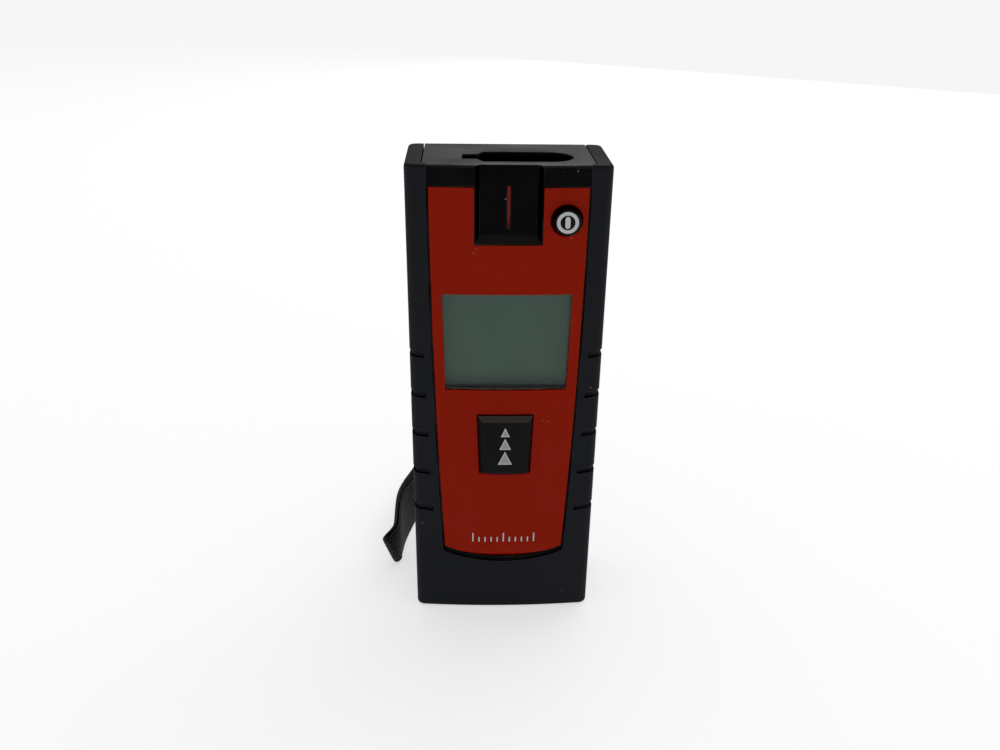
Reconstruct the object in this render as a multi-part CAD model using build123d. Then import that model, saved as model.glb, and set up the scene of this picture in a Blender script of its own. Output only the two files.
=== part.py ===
"""Hand-held laser distance meter standing on its base.

Millimetres.  The origin is the middle of the base, +Z points up along the laser
beam and the display looks towards -Y.  Depths are counted backwards (towards +Y)
from the foremost line of the crowned front face.
"""

from build123d import *
import math
import os

# ---------------------------------------------------------------- overall sizes
height = 120.0
top_width = 48.5
base_width = 46.0
depth = 27.5
crown_radius = 220.0
upright_edge_radius = 2.2
rim_edge_radius = 0.8
key_proud = 1.55
key_travel = 0.6

# ---------------------------------------------------------------- walls and splits
rubber = 1.8
rubber_base = 2.0
wall = 1.8
cap_height = 3.0
rim_depth = 3.5
parting = 14.0
land_half_width = 20.35
rear_land_low = 6.0
fit_gap = 0.05
cap_shut_line = 0.25
cavity_front = 3.6
back_wall = 3.6

# ---------------------------------------------------------------- face plate
plate_back = 1.75
plate_top = height - 5.0
plate_top_half = 18.65
plate_mid_half = 17.95
plate_mid_z = 77.0
plate_corner_half = 15.35
plate_corner_z = 19.0
plate_bottom_z = 15.95
plate_corner_radius = 0.6
plate_clearance = 0.08
lip_fold_z = 19.1
lip_set_back = 0.8
strip_width = 0.5
strip_set_back = 0.35
crescent_gap = 1.4

# ---------------------------------------------------------------- sight channel
channel_half = 8.0
channel_floor_half = 6.8
channel_low = 101.45
channel_floor_low = 103.4
channel_depth = 1.6
sight_width = 0.75
sight_low = 105.0
sight_inlay = 0.2

# ---------------------------------------------------------------- display
display_low = 64.35
display_high = 89.15
display_top_half = 15.65
display_low_half = 15.0
window_margin = 1.3
window_thickness = 1.0
window_set_back = 0.4
window_edge_gap = 0.05
window_clearance = 0.1
gasket_thickness = 0.5
gasket_width = 1.5
lcd_half_width = 16.8
lcd_low = 61.7
lcd_high = 91.3
lcd_thickness = 1.8
reflector_thickness = 0.6
connector_height = 2.0

# ---------------------------------------------------------------- keys
measure_top_half = 7.1
measure_low_half = 6.45
measure_low = 41.1
measure_high = 57.65
measure_sag = 0.4
measure_bevel_top = 1.2
measure_bevel_side = 0.8
power_stem_gap = 0.8
power_z = 107.3
power_hole_radius = 3.75
power_top_radius = 3.05
key_gap = 0.15
key_flange_margin = 1.0
key_flange_thickness = 0.8
key_flange_gap = 0.1
key_stem_radius = 2.0
key_seal_thickness = 0.5
key_room = 0.4
mark_inlay = 0.15
mark_proud = 0.03
power_ring_outer = 2.56
power_ring_inner = 1.74
power_bar_width = 1.2
power_bar_length = 2.8
arrow_marks = ((54.7, 52.2, 1.12), (51.7, 48.6, 1.47), (48.05, 44.4, 1.76))
tick_count = 11
tick_pitch = 1.6
tick_width = 0.35
tick_short = 1.4
tick_long = 2.6
tick_base_z = 20.6

# ---------------------------------------------------------------- grips
notch_count = 5
notch_top_z = 73.3
notch_pitch = 10.75
notch_height = 1.4
notch_depth = 0.6
notch_plate_gap = 2.25
notch_reach = 9.0
notch_slant = 7.0

# ---------------------------------------------------------------- top opening
opening_half = 5.8
opening_round_x = 9.8
opening_shoulder_x = -5.9
slot_half = 2.75
slot_shoulder_x = -7.3
slot_end_x = -10.85
tube_wall = 1.2
tube_length = 4.0
tube_clearance = 0.15
glass_thickness = 1.1
glass_seal_thickness = 0.7

# ---------------------------------------------------------------- optics
block_side_wall = 1.8
block_front_wall = 1.05
block_front_gap = 0.8
block_flange = 1.2
block_low = 93.0
lens_x = 3.5
lens_hidden_edge = 0.3
lens_rim = 1.4
lens_bulge = 1.6
lens_seat_z = 106.8
bore_gap = 0.05
cone_low_radius = 2.3
laser_x = -9.1
barrel_radius = 3.5
barrel_wall = 1.2
barrel_low = 95.5
barrel_high = 109.6
collimator_radius = 2.5
collimator_thickness = 2.2
diode_flange_radius = 2.8
diode_flange_thickness = 1.2
diode_can_radius = 2.1
diode_can_length = 2.4
detector_radius = 2.0
detector_height = 1.2
flex_thickness = 0.2

# ---------------------------------------------------------------- board
board_thickness = 1.2
board_half_width = 18.4
board_low = 17.0
board_high = 91.0
board_boss_gap = 0.4
board_notch_width = 2.6
tongue_gap = 0.4
tongue_high = 109.7
dome_radius = 2.0
dome_height = 0.45
post_radius = 2.0
board_post_x = 15.5
board_post_z = (30.5, 57.0)
buzzer_radius = 4.5
buzzer_height = 3.0
buzzer_z = 26.0

# ---------------------------------------------------------------- screws
boss_tray_gap = 1.6
boss_block_gap = 0.4
lower_boss_z = 22.0
upper_boss_z = 97.5
front_boss_radius = 2.5
rear_boss_radius = 3.1
shell_screw_seat = 22.0
shell_screw_length = 15.0
shell_screw_radius = 1.0
shell_head_radius = 1.9
shell_head_height = 1.6
small_screw_radius = 0.8
small_head_radius = 1.5
small_head_height = 0.9
thread_gap = 0.03
head_gap = 0.2

# ---------------------------------------------------------------- cells and door
cell_radius = 5.25
cell_length = 44.5
nub_radius = 1.9
nub_length = 1.0
cell_half_gap = 0.25
cell_gap = 0.2
contact_thickness = 0.5
dimple_height = 0.6
dimple_radius = 1.5
spring_length = 4.9
spring_radius = 2.8
spring_wire = 0.3
spring_turns = 4
tray_floor_z = 9.6
tray_wall = 1.4
tray_side_gap = 0.45
tray_front_gap = 0.1
tray_front_wall = 1.2
tab_width = 3.0
tab_gap = 0.1
door_low = 8.05
door_side_lap = 1.25
door_top_lap = 2.15
door_thickness = 2.0
door_gap = 0.15
ledge_gap = 0.1
ledge_lap = 0.8
hinge_pin_radius = 0.6
hinge_pin_length = 0.9
hinge_pin_gap = 0.05
latch_scoop_radius = 9.0
latch_scoop_depth = 0.9

# ---------------------------------------------------------------- strap
pocket_door_gap = 0.3
strap_pin_depth = 25.3
strap_pin_radius = 1.3
strap_width = 10.0
strap_thickness = 1.0
strap_low = 3.6
pocket_half_width = 2.8
pocket_margin = 0.4
pocket_inner = 22.3
pocket_wall = 1.2

# ---------------------------------------------------------------- label
label_half_width = 14.0
label_above_door = 5.85
label_height = 20.0
label_thickness = 0.3

# places that follow from the sizes above
front_y = key_proud - (depth + key_proud) / 2
lens_radius = opening_half - lens_hidden_edge
block_front = cavity_front + block_front_gap
opening_depth = block_front + block_front_wall + lens_radius
block_back = opening_depth + lens_radius + block_front_wall
block_left = laser_x - barrel_radius - barrel_wall
block_right = lens_x + lens_radius + block_side_wall
tongue_left = block_right + tongue_gap
cell_x = cell_radius + cell_half_gap
tray_half_inside = cell_x + cell_radius + tray_side_gap
tray_outer_half = tray_half_inside + tray_wall
door_half_width = tray_half_inside + door_side_lap
lower_boss_x = tray_outer_half + boss_tray_gap + rear_boss_radius
upper_boss_x = -block_left + boss_block_gap + rear_boss_radius
power_x = block_right + power_stem_gap + key_stem_radius
strap_pin_x = -(door_half_width + door_gap + pocket_wall + pocket_half_width + pocket_door_gap)
cap_seat = height - cap_height
lcd_front = cavity_front + gasket_thickness
lcd_back = lcd_front + lcd_thickness
board_front = lcd_back + connector_height - reflector_thickness
board_back = board_front + board_thickness
glass_top = cap_seat - tube_length
glass_low = glass_top - glass_thickness
block_high = glass_low - glass_seal_thickness
cavity_back = depth - back_wall
tray_ceiling_z = tray_floor_z + 2 * contact_thickness + cell_length + spring_length + dimple_height
door_high = tray_ceiling_z + tray_wall + door_top_lap
label_low = door_high + label_above_door
label_high = label_low + label_height
cell_depth = depth - door_thickness - cell_gap - cell_radius
tray_front = cell_depth - cell_radius - tray_front_gap
flange_front = cavity_front + key_seal_thickness + key_flange_gap
stem_end = board_front - dome_height - key_travel - key_flange_gap
hinge_depth = depth - door_thickness / 2
hinge_z = door_low + door_thickness / 2

parts = {}


# ---------------------------------------------------------------- shape helpers
def y_at(depth_behind_front):
    """Y of a place that lies this deep behind the foremost line of the front."""
    return front_y + depth_behind_front


def through(outline, start, end):
    """Solid over a front-view outline (x, z), from one depth to another."""
    plane = Plane(origin=(0, y_at(end), 0), x_dir=(1, 0, 0), z_dir=(0, -1, 0))
    return extrude(plane * outline, amount=end - start)


def upright(outline, low, high):
    """Solid over a plan outline (x, y), from one level to another."""
    return extrude(Pos(0, 0, low) * outline, amount=high - low)


def brick(left, right, start, end, low, high):
    """Plain block given by its x range, its depth range and its z range."""
    size = (right - left, end - start, high - low)
    corner = Pos(left, y_at(start), low)
    return corner * Box(*size, align=(Align.MIN, Align.MIN, Align.MIN))


def rod_back(radius, x, z, start, end):
    """Round rod that runs from front to back."""
    return through(Pos(x, z) * Circle(radius), start, end)


def rod_up(radius, x, at_depth, low, high):
    """Round rod that runs upwards."""
    return upright(Pos(x, y_at(at_depth)) * Circle(radius), low, high)


def front_polygon(*points):
    return make_face(Polyline(*points, close=True))


def casing(inset, base_inset, top, edge_radius):
    """The instrument's tapering, crowned form, moved inwards by an inset."""
    half_low = base_width / 2 - inset
    half_top = top_width / 2 - inset
    outline = front_polygon((-half_low, base_inset), (half_low, base_inset), (half_top, top), (-half_top, top))
    slab = through(outline, -1, depth - inset)
    crown = Pos(0, front_y + crown_radius, 0) * Circle(crown_radius - inset)
    form = slab & upright(crown, base_inset - 1, top + 1)
    uprights = [edge for edge in form.edges() if abs((edge @ 1).Z - (edge @ 0).Z) > height / 2]
    return fillet(uprights, edge_radius)


def plate_outline(margin, base_margin, top, corner_radius):
    """Front view of the red plate, grown by a margin, with its top at a level."""
    side_top = (plate_top_half + margin, plate_top)
    side_mid = (plate_mid_half + margin, plate_mid_z)
    corner = (plate_corner_half + margin, plate_corner_z - base_margin)
    lowest = (0, plate_bottom_z - base_margin)
    edges = [
        Line((-side_top[0], top), (side_top[0], top)),
        ThreePointArc(side_top, side_mid, corner),
        ThreePointArc(corner, lowest, (-corner[0], corner[1])),
        ThreePointArc((-corner[0], corner[1]), (-side_mid[0], side_mid[1]), (-side_top[0], side_top[1])),
    ]
    if top > plate_top:
        edges.append(Line((side_top[0], top), side_top))
        edges.append(Line((-side_top[0], side_top[1]), (-side_top[0], top)))
    face = make_face(edges)
    return fillet(face.vertices().sort_by(Axis.Y)[:2], corner_radius)


def tapered_outline(low, high, half_low, half_high, sag=0.0):
    """Key or display outline, a little wider above, its lower edge bowed down by a sag."""
    edges = [
        Line((-half_low, low), (-half_high, high)),
        Line((-half_high, high), (half_high, high)),
        Line((half_high, high), (half_low, low)),
    ]
    if sag > 0:
        edges.append(ThreePointArc((half_low, low), (0, low - sag), (-half_low, low)))
    else:
        edges.append(Line((half_low, low), (-half_low, low)))
    return make_face(edges)


def keyhole(margin):
    """Plan outline of the opening that the two beams pass through, grown by a margin."""
    middle = y_at(opening_depth)
    tip = opening_round_x + opening_half
    upper = [
        (slot_end_x, slot_half),
        (slot_shoulder_x, slot_half),
        (opening_shoulder_x, opening_half),
        (opening_round_x, opening_half),
    ]
    lower = [(x, -y) for x, y in reversed(upper)]
    edges = [Polyline(*upper), ThreePointArc(upper[-1], (tip, 0), lower[0]), Polyline(*lower)]
    edges.append(Line(lower[-1], upper[0]))
    face = make_face(edges)
    if margin > 0:
        face = offset(face, margin, kind=Kind.INTERSECTION)
    return Pos(0, middle) * face


def measure_outline(inset):
    """Front view of the measuring key's hole, made smaller by an inset."""
    return tapered_outline(
        measure_low + inset,
        measure_high - inset,
        measure_low_half - inset,
        measure_top_half - inset,
        measure_sag,
    )


# ---------------------------------------------------------------- housing
whole = casing(0, 0, height, upright_edge_radius)
whole = fillet(whole.edges().group_by(Axis.Z)[-1] + whole.edges().group_by(Axis.Z)[0], rim_edge_radius)
core = casing(rubber, rubber_base, cap_seat, upright_edge_radius - rubber + fit_gap)

cavity_low = rubber_base + wall
cavity_high = cap_seat - wall
cavity_half_low = base_width / 2 - rubber - wall
cavity_half_high = top_width / 2 - rubber - wall
cavity = through(
    tapered_outline(cavity_low, cavity_high, cavity_half_low, cavity_half_high),
    cavity_front,
    cavity_back,
)

front_half = brick(-top_width, top_width, -depth, parting, -1, height + 1)
rear_half = brick(-top_width, top_width, parting, 2 * depth, -1, height + 1)
above_seat = brick(-top_width, top_width, rim_depth, 2 * depth, cap_seat, height + 1)
front_land = through(plate_outline(strip_width, crescent_gap, height + 1, 1.5), -1, parting / 2) - above_seat
rear_land = brick(-land_half_width, land_half_width, depth - 2 * back_wall, depth + 1, rear_land_low, cap_seat)
cap_block = brick(-land_half_width, land_half_width, rim_depth, depth + 1, cap_seat, height + 1)

boss_corners = ((lower_boss_x, lower_boss_z), (upper_boss_x, upper_boss_z))
boss_places = [(side * x, z) for side in (-1, 1) for x, z in boss_corners]
post_places = [(side * board_post_x, z) for side in (-1, 1) for z in board_post_z]
optics_places = [((laser_x + barrel_radius + lens_x - lens_radius) / 2, 97.0), (block_right - 1.8, 97.0)]

display_opening = tapered_outline(display_low, display_high, display_low_half, display_top_half)
window_half = display_top_half + window_margin
window_pane = tapered_outline(
    display_low - window_margin,
    display_high + window_margin,
    window_half,
    window_half,
)
tube_hole = upright(keyhole(tube_wall + tube_clearance), cavity_high - 1, cap_seat + 1)

# channel that the user sights along, open through the top of the front
channel_plan = make_face(
    Polyline(
        (-channel_half - 1, y_at(-1.28)),
        (channel_half + 1, y_at(-1.28)),
        (channel_floor_half, y_at(channel_depth)),
        (-channel_floor_half, y_at(channel_depth)),
        close=True,
    )
)
channel_side = Plane.YZ * make_face(
    Polyline(
        (y_at(-1), channel_low - 1.2),
        (y_at(channel_depth), channel_floor_low),
        (y_at(channel_depth), height + 1),
        (y_at(-1), height + 1),
        close=True,
    )
)
channel = upright(channel_plan, channel_low - 2, height + 1) & extrude(channel_side, amount=top_width, both=True)
channel_notch = front_polygon(
    (-channel_half, channel_low), (channel_half, channel_low), (channel_half, height), (-channel_half, height)
)


# pocket near the lower left of the back, with the pin that the strap goes round
pocket_low = strap_low - pocket_margin
pocket_high = strap_low + strap_width + pocket_margin
pocket_left = strap_pin_x - pocket_half_width
pocket_right = strap_pin_x + pocket_half_width
pocket = brick(pocket_left, pocket_right, pocket_inner, depth + 1, pocket_low, pocket_high)
pocket_block = whole & brick(
    pocket_left - pocket_wall, pocket_right + pocket_wall, pocket_inner - pocket_wall, depth + 1,
    pocket_low - pocket_wall, pocket_high + pocket_wall,
)
strap_pin = rod_up(
    strap_pin_radius, strap_pin_x, strap_pin_depth, pocket_low - pocket_wall, pocket_high + pocket_wall
)


def make_front_shell():
    """Hard front shell with the plate's pocket, the sight channel, bosses and posts."""
    shell = (core & front_half) + (whole & front_land)
    shell -= cavity
    seat = plate_outline(plate_clearance, plate_clearance, plate_top + plate_clearance, plate_corner_radius)
    shell -= through(seat - channel_notch, -1, plate_back)
    strip = plate_outline(strip_width, crescent_gap, plate_top, 1.5) - channel_notch
    strip_floor = Pos(0, front_y + crown_radius, 0) * Circle(crown_radius - strip_set_back)
    shell -= through(strip, -1, plate_back) - upright(strip_floor, 0, height)
    shell -= channel
    shell -= through(offset(window_pane, window_clearance, kind=Kind.INTERSECTION), -1, plate_back + window_thickness)
    shell -= through(display_opening, -1, cavity_front + 1)
    shell -= through(measure_outline(0), -1, cavity_front + 1)
    shell -= rod_back(power_hole_radius, power_x, power_z, -1, cavity_front + 1)
    sight = front_polygon(
        (-sight_width / 2, sight_low), (sight_width / 2, sight_low), (sight_width / 2, plate_top),
        (-sight_width / 2, plate_top),
    )
    shell -= through(sight, -1, channel_depth + sight_inlay)
    for x, z in boss_places:
        shell += rod_back(front_boss_radius, x, z, cavity_front - 0.5, parting)
    for x, z in post_places:
        shell += rod_back(post_radius, x, z, cavity_front - 0.5, board_front)
    for x, z in optics_places:
        shell += rod_back(post_radius, x, z, cavity_front - 0.5, block_front)
    tip = shell_screw_seat - shell_screw_length
    for x, z in boss_places:
        shell -= rod_back(shell_screw_radius + thread_gap, x, z, tip - 0.5, parting + 1)
    for x, z in post_places:
        shell -= rod_back(small_screw_radius + thread_gap, x, z, board_front - 3.5, board_front + 1)
    for x, z in optics_places:
        shell -= rod_back(small_screw_radius + thread_gap, x, z, plate_back + 0.7, block_front + 1)
    shell -= tube_hole
    return shell


def make_rear_shell():
    """Hard rear shell with the cell opening, the door's ledge and the strap's pocket."""
    shell = (core & rear_half) + (whole & rear_land & rear_half)
    shell -= cavity
    for x, z in boss_places:
        shell += rod_back(rear_boss_radius, x, z, parting, cavity_back + 0.5) & core
    shell += pocket_block
    shell -= pocket
    shell -= strap_pin
    for x, z in boss_places:
        shell -= rod_back(shell_screw_radius + 0.1, x, z, parting - 1, shell_screw_seat + 1)
        shell -= rod_back(shell_head_radius + head_gap, x, z, shell_screw_seat, depth + 1)
    opening = door_half_width + door_gap
    ledge = depth - door_thickness - ledge_gap
    shell -= brick(-opening, opening, ledge, depth + 1, door_low - door_gap, door_high + door_gap)
    shell -= brick(
        -tray_half_inside, tray_half_inside, cavity_back - 1, depth, tray_floor_z + ledge_lap,
        tray_ceiling_z - ledge_lap,
    )
    reach = opening + hinge_pin_length + door_gap
    hinge_plane = Plane(origin=(-reach, y_at(hinge_depth), hinge_z), z_dir=(1, 0, 0))
    shell -= extrude(hinge_plane * Circle(hinge_pin_radius + hinge_pin_gap), amount=2 * reach)
    shell -= brick(
        -label_half_width, label_half_width, depth - label_thickness, depth + 1, label_low, label_high
    )
    shell -= tube_hole
    return shell - shell_seal_form


def seal_ring(outer, inner, start, end):
    """Ring that follows the shells' joint, lying between two insets of the casing."""
    rings = []
    for inset in (outer, inner):
        half_low = base_width / 2 - rubber - inset
        half_high = top_width / 2 - rubber - inset
        rings.append(tapered_outline(rubber_base + inset, cap_seat - inset, half_low, half_high))
    return through(rings[0] - rings[1], start, end)


shell_seal_form = seal_ring(0.5, 1.3, parting, parting + 0.9) - tube_hole

parts["front_shell"] = make_front_shell()
parts["rear_shell"] = make_rear_shell()
parts["shell_seal"] = shell_seal_form

# end cap with the opening's tube, which the beams pass through
cap_fit = cap_block & brick(
    -land_half_width + cap_shut_line, land_half_width - cap_shut_line, 0, depth + 1, 0, height + 1
)
cap = (whole & cap_fit) + upright(keyhole(tube_wall), glass_top, cap_seat)
parts["top_cap"] = cap - upright(keyhole(0), glass_top - 1, height + 1)
parts["beam_window"] = upright(keyhole(tube_wall), glass_low, glass_top)
parts["window_seal"] = upright(keyhole(tube_wall) - keyhole(0.3), block_high, glass_low)

# rubber moulded round the sides and the base, in a front and a rear half
rubber_form = whole - core - front_land - rear_land - cap_block - pocket_block
notch_skin = whole - casing(notch_depth, notch_depth, height - notch_depth, upright_edge_radius - notch_depth)


def plate_half_at(z):
    """Half width of the plate at a level: a parabola through its three named widths."""
    low, mid, top = plate_corner_z, plate_mid_z, plate_top
    share_low = (z - mid) * (z - top) / ((low - mid) * (low - top))
    share_mid = (z - low) * (z - top) / ((mid - low) * (mid - top))
    share_top = (z - low) * (z - mid) / ((top - low) * (top - mid))
    return share_low * plate_corner_half + share_mid * plate_mid_half + share_top * plate_top_half


def grip_notches():
    """Short slanting grooves across the front corners of the grip, each as far from the plate."""
    cuts = []
    for side in (-1, 1):
        for number in range(notch_count):
            z = notch_top_z - number * notch_pitch
            inner_x = plate_half_at(z) + notch_plate_gap
            length = top_width / 2 + 1 - inner_x
            bar = brick(0, length, -1, notch_reach, -notch_height / 2, notch_height / 2)
            bar = Pos(inner_x, 0, z) * Rot(0, -notch_slant, 0) * bar
            cuts.append(bar if side > 0 else mirror(bar, Plane.YZ))
    return cuts


front_grip = rubber_form & front_half
for cut in grip_notches():
    front_grip -= notch_skin & cut
parts["front_grip"] = front_grip
parts["rear_grip"] = rubber_form & rear_half

# ---------------------------------------------------------------- face plate
plate = whole & through(plate_outline(0, 0, plate_top, plate_corner_radius), -1, plate_back)
lip_drop = lip_fold_z - plate_bottom_z + 1
lip_cut = Plane.YZ * make_face(
    Polyline(
        (y_at(0), lip_fold_z),
        (y_at(lip_set_back * lip_drop / (lip_drop - 1)), lip_fold_z - lip_drop),
        (y_at(-2), lip_fold_z - lip_drop),
        (y_at(-2), lip_fold_z),
        close=True,
    )
)
plate -= extrude(lip_cut, amount=top_width, both=True)
plate -= through(offset(channel_notch, 0.05, kind=Kind.INTERSECTION), -1, depth)
plate -= through(display_opening, -1, depth)
plate -= through(measure_outline(0), -1, depth)
plate -= rod_back(power_hole_radius, power_x, power_z, -1, depth)


def graduation_ticks():
    """Short graduation lines, every fifth one longer, side by side."""
    lines = []
    for number in range(tick_count):
        length = tick_long if number % 5 == 0 else tick_short
        x = (number - (tick_count - 1) / 2) * tick_pitch
        lines.append(
            front_polygon(
                (x - tick_width / 2, tick_base_z), (x + tick_width / 2, tick_base_z),
                (x + tick_width / 2, tick_base_z + length), (x - tick_width / 2, tick_base_z + length),
            )
        )
    return Sketch(children=lines)


tick_floor = Pos(0, front_y + crown_radius, 0) * Circle(crown_radius - mark_inlay)
tick_form = through(graduation_ticks(), -1, plate_back) - upright(tick_floor, 0, height)
tick_crown = Pos(0, front_y + crown_radius, 0) * Circle(crown_radius + mark_proud)
plate -= tick_form
parts["face_plate"] = plate
parts["face_scale"] = tick_form & upright(tick_crown, 0, height)

sight_form = front_polygon(
    (-sight_width / 2, sight_low), (sight_width / 2, sight_low), (sight_width / 2, plate_top),
    (-sight_width / 2, plate_top),
)
parts["sight_line"] = through(sight_form, channel_depth - mark_proud, channel_depth + sight_inlay)

# ---------------------------------------------------------------- display
window_front = Pos(0, front_y + crown_radius, 0) * Circle(crown_radius - window_set_back)
window_boss = tapered_outline(
    display_low + window_edge_gap, display_high - window_edge_gap,
    display_low_half - window_edge_gap, display_top_half - window_edge_gap,
)
window = through(window_boss, 0, plate_back) & upright(window_front, 0, height)
parts["display_window"] = window + through(window_pane, plate_back, plate_back + window_thickness)
lcd_outline = tapered_outline(lcd_low, lcd_high, lcd_half_width, lcd_half_width)
gasket = tapered_outline(
    display_low - gasket_width, display_high + gasket_width, display_top_half + 0.6, display_top_half + 0.6
)
parts["display_gasket"] = through(gasket - display_opening, cavity_front, lcd_front)
parts["lcd_glass"] = through(lcd_outline, lcd_front, lcd_back)
reflector = tapered_outline(lcd_low + connector_height + 0.6, lcd_high, lcd_half_width, lcd_half_width)
parts["lcd_reflector"] = through(reflector, lcd_back, lcd_back + reflector_thickness)
connector = tapered_outline(lcd_low + 0.2, lcd_low + connector_height, lcd_half_width - 0.5, lcd_half_width - 0.5)
parts["lcd_connector"] = through(connector, lcd_back, board_front)


# ---------------------------------------------------------------- keys
def make_measure_key():
    """Bevelled key with a flange behind the shell and a stem over its switch."""
    body = through(measure_outline(key_gap), -0.2, flange_front + key_flange_thickness)
    skirt = tapered_outline(
        measure_low + key_gap, measure_high - key_gap, measure_low_half - key_gap, measure_top_half - key_gap
    )
    face = tapered_outline(
        measure_low + key_gap + measure_bevel_side, measure_high - key_gap - measure_bevel_top,
        measure_low_half - key_gap - measure_bevel_side, measure_top_half - key_gap - 1.6 * measure_bevel_side,
    )
    base_plane = Plane(origin=(0, y_at(-0.2), 0), x_dir=(1, 0, 0), z_dir=(0, -1, 0))
    face_plane = Plane(origin=(0, y_at(-key_proud), 0), x_dir=(1, 0, 0), z_dir=(0, -1, 0))
    body += loft([base_plane * skirt, face_plane * face])
    flange = tapered_outline(
        measure_low - key_flange_margin, measure_high + key_flange_margin,
        measure_low_half + key_flange_margin, measure_top_half + key_flange_margin,
    )
    body += through(flange, flange_front, flange_front + key_flange_thickness)
    middle = (measure_low + measure_high) / 2
    body += rod_back(key_stem_radius, 0, middle, flange_front, stem_end)
    return body


def arrow_outlines():
    """Three arrowheads that grow from the top one to the lowest one."""
    heads = []
    for apex, base, half in arrow_marks:
        heads.append(front_polygon((0, apex), (half, base), (-half, base)))
    return heads


measure_key = make_measure_key()
arrows = Sketch(children=arrow_outlines())
measure_key -= through(arrows, -key_proud - 1, -key_proud + mark_inlay)
parts["measure_button"] = measure_key
parts["measure_marks"] = through(arrows, -key_proud - mark_proud, -key_proud + mark_inlay)

power_body = rod_back(power_hole_radius - key_gap, power_x, power_z, 0, flange_front + key_flange_thickness)
cone_base = Plane(origin=(power_x, y_at(0), power_z), z_dir=(0, -1, 0)) * Circle(power_hole_radius - key_gap)
cone_top = Plane(origin=(power_x, y_at(-key_proud), power_z), z_dir=(0, -1, 0)) * Circle(power_top_radius)
power_body += loft([cone_base, cone_top])
power_flange = rod_back(
    power_hole_radius + key_flange_margin, power_x, power_z, flange_front, flange_front + key_flange_thickness
)
power_body += power_flange & brick(0, top_width, 0, depth, 0, tongue_high)
power_body += rod_back(key_stem_radius, power_x, power_z, flange_front, stem_end)
ring = Pos(power_x, power_z) * (Circle(power_ring_outer) - Circle(power_ring_inner))
bar = Pos(power_x, power_z) * SlotOverall(power_bar_length, power_bar_width, rotation=90)
power_sign = Sketch(children=[ring, bar])
power_body -= through(power_sign, -key_proud - 1, -key_proud + mark_inlay)
parts["power_button"] = power_body
parts["power_mark"] = through(power_sign, -key_proud - mark_proud, -key_proud + mark_inlay)

measure_ring = measure_outline(-key_flange_margin) - measure_outline(-0.3)
power_ring = Circle(power_hole_radius + key_flange_margin) - Circle(power_hole_radius + 0.3)
key_seals = [
    through(measure_ring, cavity_front, cavity_front + key_seal_thickness),
    through(Pos(power_x, power_z) * power_ring, cavity_front, cavity_front + key_seal_thickness),
]
parts["key_seals"] = Compound(children=[solid for seal in key_seals for solid in seal.solids()])


# ---------------------------------------------------------------- circuit board
def make_board():
    """Board behind the display, with a tongue up to the power key's switch."""
    outline = front_polygon(
        (-board_half_width, board_low), (board_half_width, board_low), (board_half_width, tongue_high),
        (tongue_left, tongue_high), (tongue_left, board_high), (-board_half_width, board_high),
    )
    board = through(outline, board_front, board_back)
    for x, z in boss_places:
        board -= rod_back(front_boss_radius + board_boss_gap, x, z, board_front - 1, board_back + 1)
    for x, z in post_places:
        board -= rod_back(small_screw_radius + 0.1, x, z, board_front - 1, board_back + 1)
    inner = board_half_width - board_notch_width
    reach = front_boss_radius + board_boss_gap
    board -= brick(inner, board_half_width + 1, 0, depth, upper_boss_z - reach, upper_boss_z + reach)
    board -= brick(inner, board_half_width + 1, 0, depth, 0, lower_boss_z + reach)
    board -= brick(-board_half_width - 1, -inner, 0, depth, 0, lower_boss_z + reach)
    return board


def dome_at(x, z):
    """Shallow snap dome lying on the board's front."""
    ball_radius = (dome_radius**2 + dome_height**2) / (2 * dome_height)
    ball = Pos(x, y_at(board_front - dome_height + ball_radius), z) * Sphere(ball_radius)
    return ball & rod_back(dome_radius + 0.5, x, z, board_front - dome_height - 1, board_front)


def on_board(width, tall, thick, x, z):
    """Component soldered to the board's back."""
    return brick(x - width / 2, x + width / 2, board_back, board_back + thick, z - tall / 2, z + tall / 2)


parts["main_board"] = make_board()
measure_middle = (measure_low + measure_high) / 2
parts["switch_domes"] = Compound(children=[dome_at(0, measure_middle), dome_at(power_x, power_z)])
parts["processor"] = on_board(10.0, 10.0, 1.4, -2.0, 76.0)
parts["board_chips"] = Compound(
    children=[
        on_board(6.0, 5.0, 1.2, 10.5, 78.0), on_board(5.0, 4.0, 1.0, -12.0, 79.0),
        on_board(4.0, 6.0, 1.2, 10.0, 40.0), on_board(8.0, 5.0, 1.5, -8.0, 48.0),
    ]
)
parts["capacitors"] = Compound(
    children=[on_board(3.2, 1.6, 1.6, x, z) for x in (-12.0, -7.0, 7.0, 12.0) for z in (34.0, 67.0)]
)
parts["crystal"] = on_board(7.0, 3.0, 1.5, 0.0, 66.5)
parts["buzzer"] = rod_back(buzzer_radius, 0, buzzer_z, board_back, board_back + buzzer_height)

# ---------------------------------------------------------------- optics
flange_plan = keyhole(tube_wall)
block_plan = Pos((block_left + block_right) / 2, y_at((block_front + block_back) / 2)) * Rectangle(
    block_right - block_left, block_back - block_front
)
block = upright(block_plan, block_low, block_high) + upright(flange_plan, block_high - block_flange, block_high)
cone = Pos(lens_x, y_at(opening_depth), block_low) * Cone(
    cone_low_radius, lens_radius - 0.5, lens_seat_z - block_low, align=(Align.CENTER, Align.CENTER, Align.MIN)
)
block -= cone
block -= rod_up(lens_radius + bore_gap, lens_x, opening_depth, lens_seat_z, block_high + 1)
block -= rod_up(cone_low_radius, lens_x, opening_depth, block_low - 1, block_low + 1.5)
block -= rod_up(barrel_radius + bore_gap, laser_x, opening_depth, block_low - 1, block_high + 1)
block -= rod_back(
    power_hole_radius + key_flange_margin + key_room, power_x, power_z, 0,
    flange_front + key_flange_thickness + key_travel + key_room,
)
for x, z in optics_places:
    block -= rod_back(small_screw_radius + 0.1, x, z, block_front - 1, block_back + 1)
parts["optics_block"] = block

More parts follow.
